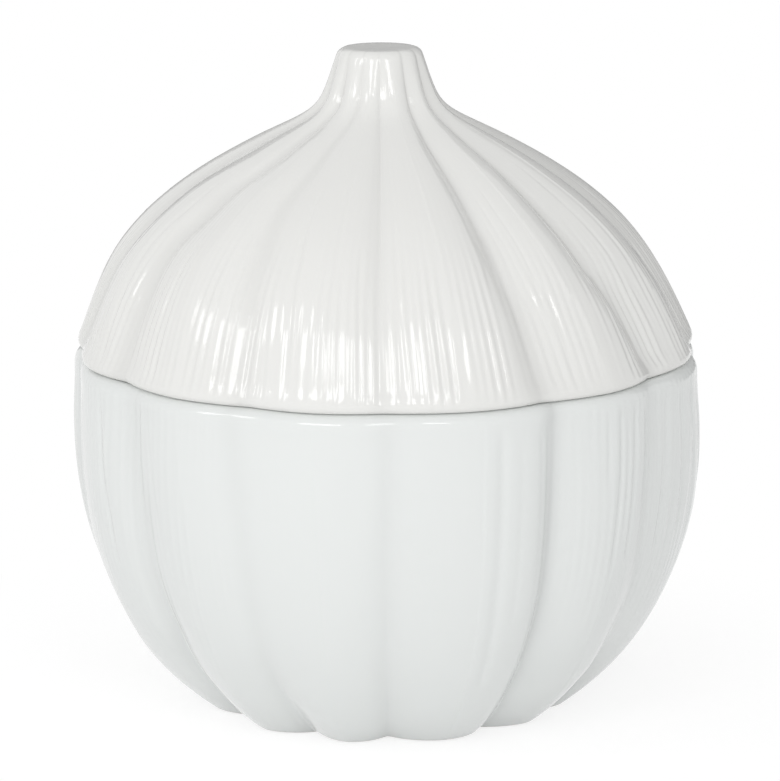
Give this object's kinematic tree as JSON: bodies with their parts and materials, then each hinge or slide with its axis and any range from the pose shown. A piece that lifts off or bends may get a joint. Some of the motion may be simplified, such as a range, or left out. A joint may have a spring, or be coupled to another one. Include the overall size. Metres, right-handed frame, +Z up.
{
  "type": "garlic keeper",
  "caption": "Glazed ceramic storage jar with a lift-off domed lid, lobed from foot to stem like a head of garlic.",
  "frame": {"origin": "centre of the foot, on the surface that the jar stands on", "axes": "+Z up along the axis of the jar and lid, +X to the right and -Y to the front, where one groove lies"},
  "size_m": [0.1346, 0.1341, 0.1404],
  "materials": {
    "jar_glaze": "glossy white glaze, very slightly cool",
    "lid_glaze": "glossy white glaze, very slightly warm"
  },
  "bodies": {
    "jar": {"jar": "jar_glaze"},
    "lid": {"lid": "lid_glaze"}
  },
  "joints": [
    {"name": "lid_lift", "type": "slide", "parent": "jar", "child": "lid", "axis": [0, 0, 1], "range_m": [0, 0.15]}
  ]
}
